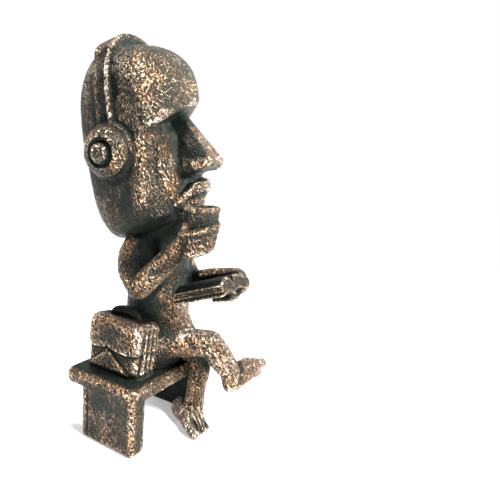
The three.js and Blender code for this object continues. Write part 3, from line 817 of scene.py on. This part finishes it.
def bag_zones(points, normal):
    """Places on the satchel: across it, on it at all, on its broad sides, on top and on its ends by the
    normal's share, and the heights over the flap's edge and over the pleats, which fall by straight slopes
    from where the scallops meet."""
    q = bag_local(points)
    n = turned_back(normal, "y", -BAG_LEAN)
    below_top, above_base = q[:, 2] < BAG_HEIGHT + 1, q[:, 2] > 1.4
    ends = smooth_step(np.abs(n[:, 1]), 0.5, 0.8) * smooth_step(q[:, 2], 1.5, 3)
    along = q[:, 1] - FLAP_MEETS
    return SimpleNamespace(
        across=q[:, 0],
        bag=(np.abs(q[:, 0]) < 8) & (np.abs(q[:, 1]) < 15) & below_top & above_base,
        wide=smooth_step(np.abs(n[:, 0]), 0.3, 0.6),
        top=smooth_step(n[:, 2], 0.3, 0.6),
        ends=ends * smooth_step(-q[:, 2], -19, -17.5),
        over_flap=q[:, 2] - flap_edge(q[:, 1]),
        over_pleat=q[:, 2] - PLEAT_LEVEL + np.where(along < 0, -0.66, 0.80) * along)


def leg_line(points, normal, width):
    """A line, a bell across, beside the back edge of each bench leg on the side that faces the near end."""
    on_leg = (points[:, 2] < BENCH_HEIGHT - SLAB_THICKNESS - 1) * smooth_step(-normal[:, 0], 0.7, 0.9)
    return groove(points[:, 1], (BENCH_DEPTH - LEG_BACK_INSET - 3.4,), width) * on_leg


def bench_relief(points, normal):
    """The satchel's flap, raised above its scalloped edge, the two pleats that fall from it, the folds of
    the bag's ends, a cosine across, and a shallow line on the bench's legs."""
    at = bag_zones(points, normal)
    flap = 1.1 * smooth_step(at.over_flap, -0.25, 0.25) * np.maximum(at.wide, at.top)
    pleats = 0.7 * smooth_step(-at.over_pleat, -0.3, 0.3) * at.wide * (at.over_flap < 0)
    folds = 0.6 * np.cos(2 * np.pi * at.across / FOLD_PITCH) * at.ends
    return np.where(at.bag, flap + pleats + folds, -0.25 * leg_line(points, normal, 0.5))


def bench_grooves(points, normal):
    """Dark lines under the flap's edge and along the pleats, bells across, and between the folds."""
    at = bag_zones(points, normal)
    under_flap = groove(at.over_flap, (-0.55,), 0.5) * at.wide
    beside_pleat = groove(at.over_pleat, (0.5,), 0.5) * at.wide * (at.over_flap < 0)
    between = smooth_step(-np.cos(2 * np.pi * at.across / FOLD_PITCH), 0.1, 0.7) * at.ends
    bag_lines = np.maximum.reduce([under_flap, beside_pleat, between])
    return np.where(at.bag, bag_lines, 0.3 * leg_line(points, normal, 0.6))


def bench_worn(points, normal):
    """The flap's lip is rubbed bright, and the satchel and the slab's rim a little."""
    at = bag_zones(points, normal)
    rim = (points[:, 2] > BENCH_HEIGHT - SLAB_THICKNESS - 0.5) * (np.abs(normal[:, 2]) < 0.75)
    lip = groove(at.over_flap, (0.5,), 0.5) * at.wide
    return np.where(at.bag, 0.12 + 0.5 * lip, 0.10 * rim)


def bench_calm(points, normal):
    """Smooth dark paint on the seat's top, inside its rounded edge, smooth and darker on the satchel's
    handle, and painted shade, smooth and dark, on the bench's inner sides and under the seat."""
    top = smooth_step(normal[:, 2], 0.8, 0.95) * (np.abs(points[:, 2] - BENCH_HEIGHT) < 0.9)
    for at, length in ((points[:, 0], BENCH_LENGTH), (points[:, 1], BENCH_DEPTH)):
        top = top * smooth_step(at, 1.2, 2.6) * smooth_step(length - at, 1.2, 2.6)
    # Painted shade under the seat and on the inner sides of the bench's legs.
    inside = (points[:, 0] > LEG_THICKNESS - 1) & (points[:, 0] < BENCH_LENGTH - LEG_THICKNESS + 1)
    inner = inside * smooth_step(BENCH_HEIGHT - SLAB_THICKNESS + 0.6 - points[:, 2], 0, 1)
    q = bag_local(points)
    handle = smooth_step(q[:, 2], BAG_HEIGHT + 0.6, BAG_HEIGHT + 1.4)
    return np.maximum.reduce([top, inner, handle])


def eased(points, edges, times):
    """The points smoothed with little shrinking: each round moves them 0.6 of the way to their neighbours'
    mean, and then away from the new mean by half their distance from it."""
    for _ in range(times):
        points = points + 0.6 * (spread(points, edges, 1) - points)
        points = points - 0.5 * (spread(points, edges, 1) - points)
    return points


def mesh_of(name, points, quads, layers):
    """A smooth mesh of squares in metres about the footprint's middle, with one number per vertex in each
    named layer."""
    mesh = bpy.data.meshes.new(name)
    mesh.vertices.add(len(points))
    mesh.vertices.foreach_set("co", ((points - FOOTPRINT_MIDDLE) * METRES).ravel())
    mesh.loops.add(quads.size)
    mesh.loops.foreach_set("vertex_index", quads.ravel())
    mesh.polygons.add(len(quads))
    mesh.polygons.foreach_set("loop_start", np.arange(0, quads.size, 4))
    mesh.update()
    mesh.validate()
    mesh.polygons.foreach_set("use_smooth", np.ones(len(quads), bool))
    for label, values in layers.items():
        layer = mesh.attributes.new(label, "FLOAT", "POINT")
        layer.data.foreach_set("value", np.asarray(values, np.float32))
    return mesh


def dressed(name, shapes, relief, worn, grooves, calm=None, voxel=VOXEL, smoothing=7):
    """A finished piece: fused, eased, given its own relief and the hammer marks, and marked with how far
    the paint is rubbed, painted highlights included (rub), how dark each place lies, as patina
    and as painted shade (hollow), and how smooth it is, with painted shade in some places
    (calm). What stands out from the mean of its surroundings is rubbed; what lies in is dark with
    patina, and what has much surface before it is darkened as painted shade."""
    points, quads = fused(name, shapes, voxel)
    edges = neighbours(quads)
    points = eased(points, edges, smoothing)
    normal = normals(points, quads)
    points = points + normal * relief(points, normal)[:, None]
    normal = normals(points, quads)
    stands = np.einsum("ij,ij->i", points - spread(points, edges, 30), normal)
    crisp = np.einsum("ij,ij->i", points - spread(points, edges, 6), normal)
    # Painted shade: the surface that stands in front of each vertex is counted, and where it is much the
    # paint is darkened.
    near = crowding(points, normal, 3.0, 1.2)
    near = spread(near, edges, 4)[:, 0] / np.median(near)
    # The calm values are smooth paint, and in some places painted shade that darkens the colour as well.
    smooth = calm(points, normal) if calm else np.zeros(len(points))
    smooth = spread(smooth, edges, 2)[:, 0]
    # The worn values add wear and, on the head and legs, painted highlights and painted light.
    rub = 0.55 * smooth_step(stands, -0.10, 0.60) + 0.6 * smooth_step(crisp, 0.0, 0.10)
    rub = np.clip(rub + worn(points, normal), 0, 1.4)
    # Dark patina in the creases, and painted shade where much surface stands in front.
    hollow = np.clip(smooth_step(near, 1.45, 2.7) + smooth_step(-crisp, 0.03, 0.14), 0, 1)
    line = grooves(points, normal)
    # The grooves add dark lines; where they are negative they take dark away, which paints light under the
    # brow.
    hollow = np.where(line < 0, hollow * (1 + line), np.maximum(hollow, 1.25 * line))
    depth = HAMMER_DEPTH * (1 - 0.9 * smooth)
    points = points + normal * (depth * (hammered(points, HAMMER_PITCH) * 1.6 - 0.75))[:, None]
    points[:, 2] = np.maximum(points[:, 2], 0.0)
    mesh = mesh_of(name, points, quads, {"rub": rub, "hollow": hollow, "calm": smooth})
    piece = bpy.data.objects.new(name, mesh)
    bpy.context.scene.collection.objects.link(piece)
    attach(piece, "root")
    return piece


head = [skull(), *face(), headband(), *both_sides(ear_cup)]
body = [torso(), *arms(), cup(), *cup_hand(), book(), *book_hand()]
pieces = [
    dressed("moai_head", [on_head(s) for s in head], head_relief, head_worn, head_grooves, head_calm),
    dressed("seated_body", [on_figure(s) for s in body],
            body_relief, body_worn, page_grooves, body_calm, voxel=BODY_VOXEL, smoothing=5),
    dressed("crossed_legs", [on_figure(s) for s in legs()],
            toe_relief, legs_worn, toe_grooves, voxel=LEGS_VOXEL),
    dressed("bench_and_satchel", [*bench(), *satchel()],
            bench_relief, bench_worn, bench_grooves, bench_calm),
]
for piece in pieces:
    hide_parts("moai_figurine")


def node_adder(tree):
    """A function that adds a node to the tree, with its settings, and its inputs fed with numbers, colours
    or other nodes' outputs. It gives the node's outputs."""
    def node(kind, inputs, **settings):
        n = tree.nodes.new(kind)
        for key, value in settings.items():
            setattr(n, key, value)
        for key, value in inputs.items():
            if isinstance(value, bpy.types.NodeSocket):
                tree.links.new(value, n.inputs[key])
            else:
                n.inputs[key].default_value = value
        return n.outputs
    return node


def mapper(node):
    """A function that maps low and high to the other two numbers, by the cubic 3t^2 - 2t^3 between them."""
    def mapped(source, low, high, to_low=0.0, to_high=1.0):
        ends = {"From Min": low, "From Max": high, "To Min": to_low, "To Max": to_high}
        inputs = {"Value": source, **ends}
        return node("ShaderNodeMapRange", inputs, interpolation_type="SMOOTHSTEP")["Result"]
    return mapped


def patina():
    """Bronze paint over resin, with painted light and shade: dark green in the hollows and in the painted
    shade, brown between, copper and silver where it is rubbed and where highlights are painted. The rub is
    the piece's own, painted highlights included, times a network of bright lines where a slanted noise
    crosses its middle, times what the hollows, the painted shade and the smooth places leave open."""
    made = bpy.data.materials.new("Antique_bronze_patina")
    made.use_nodes = True
    made.node_tree.nodes.clear()
    node = node_adder(made.node_tree)
    mapped = mapper(node)

    def value_of(label):
        """The piece's own number of that name."""
        return node("ShaderNodeAttribute", {}, attribute_name=label)["Fac"]

    def math(kind, *values):
        """One step of arithmetic."""
        return node("ShaderNodeMath", dict(enumerate(values)), operation=kind)[0]

    def scaled(value, share):
        """The product of two."""
        return math("MULTIPLY", value, share)

    def total(first, *rest):
        """The sum of all."""
        for value in rest:
            first = math("ADD", first, value)
        return first

    def mixed(share, a, b):
        """The colour a where the share is 0 and b where it is 1."""
        return node("ShaderNodeMix", {"Factor": share, "A": a, "B": b}, data_type="RGBA")["Result"]

    def noise_on(vector, scale, detail=3.0):
        """A smooth noise, its scale in waves a metre, and as many finer ones on top as its detail."""
        return node("ShaderNodeTexNoise", {"Vector": vector, "Scale": scale, "Detail": detail})

    def noise(scale, detail=3.0):
        """That noise over the piece itself."""
        return noise_on(place, scale, detail)["Fac"]

    place = node("ShaderNodeTexCoord", {})["Object"]
    wobble = {0: noise_on(place, WOBBLE_SCALE, 2.0)["Color"], "Scale": WOBBLE_REACH}
    shift = node("ShaderNodeVectorMath", wobble, operation="SCALE")["Vector"]
    network = {"Vector": node("ShaderNodeVectorMath", {0: place, 1: shift}, operation="ADD")["Vector"],
               "Rotation": (NETWORK_SLANT, 0.0, 0.0), "Scale": (1.0, 1.0, NETWORK_STRETCH)}
    slanted = node("ShaderNodeMapping", network, vector_type="TEXTURE")["Vector"]
    from_middle = math("SUBTRACT", noise_on(slanted, NETWORK_SCALE, 1.0)["Fac"], 0.5)
    lines = mapped(math("ABSOLUTE", from_middle), 0.0, 0.12, 1.0, 0.0)

    # Painted shade: the calm and hollow values hold painted shade, and these shares carry it into the
    # colour.
    rough_share = math("SUBTRACT", 1.0, value_of("calm"))
    clear_share = math("SUBTRACT", 1.0, scaled(value_of("hollow"), 0.75))
    open_share = math("MAXIMUM", 0.0, scaled(rough_share, clear_share))
    clouds = mapped(noise(95), 0.38, 0.64)
    # The rub values hold painted highlights as well as wear.
    level = total(scaled(value_of("rub"), 0.55), scaled(clouds, 0.30), 0.21)
    tips = total(scaled(lines, 0.80), scaled(noise(1500, 2), 0.40), 0.06)
    rub = scaled(scaled(level, tips), open_share)

    height = node("ShaderNodeSeparateXYZ", {0: place})["Z"]
    cooler_head = mapped(height, 0.07, 0.11, 0.05, -0.05)
    warmth = total(noise(70, 2), scaled(value_of("rub"), 0.14), cooler_head)
    dark = mixed(mapped(noise(420), 0.4, 0.62), (0.006, 0.011, 0.009, 1), (0.015, 0.017, 0.013, 1))
    brown = mixed(mapped(rub, 0.16, 0.44), dark, (0.125, 0.092, 0.060, 1))
    tint = mixed(mapped(warmth, 0.42, 0.62), (0.42, 0.345, 0.25, 1), (0.52, 0.315, 0.175, 1))
    copper = mixed(mapped(rub, 0.34, 0.75), brown, tint)
    silver = mixed(mapped(rub, 0.8, 1.1), copper, (0.80, 0.74, 0.65, 1))

    bump = node("ShaderNodeBump", {
        "Strength": total(scaled(open_share, 0.9), 0.06),
        "Distance": BUMP_DEPTH,
        "Height": total(lines, scaled(noise(2200, 2), 0.6))})
    shader = node("ShaderNodeBsdfPrincipled", {
        "Base Color": silver,
        "Specular IOR Level": mapped(open_share, 0.0, 1.0, 0.10, 0.35),
        "Metallic": mapped(rub, 0.08, 0.5, 0.3, 0.94),
        "Roughness": mapped(rub, 0.0, 0.6, 0.48, 0.22),
        "Normal": bump["Normal"]})
    node("ShaderNodeOutputMaterial", {"Surface": shader["BSDF"]})
    return made


bronze = patina()
for piece in pieces:
    piece.data.materials.append(bronze)


def floor():
    """A plain pale floor."""
    mesh = bpy.data.meshes.new("floor")
    half = 0.5
    corners = [(-half, -half, 0), (half, -half, 0), (half, half, 0), (-half, half, 0)]
    mesh.from_pydata(corners, [], [(0, 1, 2, 3)])
    piece = bpy.data.objects.new("floor", mesh)
    bpy.context.scene.collection.objects.link(piece)
    pale = bpy.data.materials.new("Pale_floor")
    pale.use_nodes = True
    shader = pale.node_tree.nodes["Principled BSDF"]
    for key, value in (("Base Color", (0.88, 0.88, 0.88, 1)), ("Roughness", 0.9),
                       ("Emission Color", (1, 1, 1, 1)), ("Emission Strength", 0.35)):
        shader.inputs[key].default_value = value
    mesh.materials.append(pale)


def stand(piece, right, up, back, place):
    """Put an object into the scene at its place in metres, its axes along right, up and back."""
    bpy.context.scene.collection.objects.link(piece)
    turn = np.eye(4)
    turn[:3] = np.stack([right, up, back, place], 1)
    piece.matrix_world = Matrix(turn.tolist())


def lamp(name, place, aim_height, size, power):
    """A square soft light, level at its sides, that faces a height over the figure's middle."""
    light = bpy.data.lights.new(name, "AREA")
    light.size = size
    light.energy = power
    away = np.asarray(place, float) - [0, 0, aim_height]
    back = away / np.linalg.norm(away)
    right = np.cross([0, 0, 1], back)
    right /= np.linalg.norm(right)
    stand(bpy.data.objects.new(name, light), right, np.cross(back, right), back, place)


def camera():
    """The photograph's view, from the figure's right front and a little above. Back points from the figure
    to the camera by its turn and rise, and the other two axes are turned about it by the roll."""
    s, c = np.sin(CAMERA_TURN), np.cos(CAMERA_TURN)
    back = np.array([s * np.cos(CAMERA_RISE), -c * np.cos(CAMERA_RISE), np.sin(CAMERA_RISE)])
    level = np.array([c, s, 0.0])
    upright = np.cross(back, level)
    right = np.cos(CAMERA_ROLL) * level + np.sin(CAMERA_ROLL) * upright
    up = -np.sin(CAMERA_ROLL) * level + np.cos(CAMERA_ROLL) * upright
    data = bpy.data.cameras.new("Camera")
    data.sensor_width = SENSOR_WIDTH
    data.lens = FOCAL_PIXELS / PICTURE_PIXELS * SENSOR_WIDTH
    data.shift_x = CAMERA_SHIFT
    data.clip_start = 0.01
    piece = bpy.data.objects.new("Camera", data)
    stand(piece, right, up, back, (CAMERA_PLACE - FOOTPRINT_MIDDLE) * METRES)
    bpy.context.scene.camera = piece


def studio():
    """Surroundings that are white behind the figure and dimmer where the camera stands, and soft lamps."""
    world = bpy.data.worlds.new("Studio")
    world.use_nodes = True
    node = node_adder(world.node_tree)
    look = node("ShaderNodeTexCoord", {})["Generated"]
    far_side = (0.80, 0.60, 0.0)
    facing = node("ShaderNodeVectorMath", {0: look, 1: far_side}, operation="DOT_PRODUCT")["Value"]
    background = world.node_tree.nodes["Background"]
    background.inputs["Color"].default_value = (1, 1, 1, 1)
    strength = mapper(node)(facing, -0.3, 0.5, 0.12, 1.0)
    world.node_tree.links.new(strength, background.inputs["Strength"])
    bpy.context.scene.world = world
    bpy.context.scene.view_settings.view_transform = "Standard"
    lamp("key", (-0.10, -0.58, 0.58), 0.08, 0.07, 7.0)
    lamp("front", (0.20, -0.60, 0.40), 0.10, 0.07, 13.0)
    lamp("side", (-0.60, -0.10, 0.45), 0.08, 0.10, 0.4)
    lamp("top", (0.02, 0.04, 0.66), 0.08, 0.10, 4.5)


floor()
camera()
studio()
bpy.context.view_layer.update()
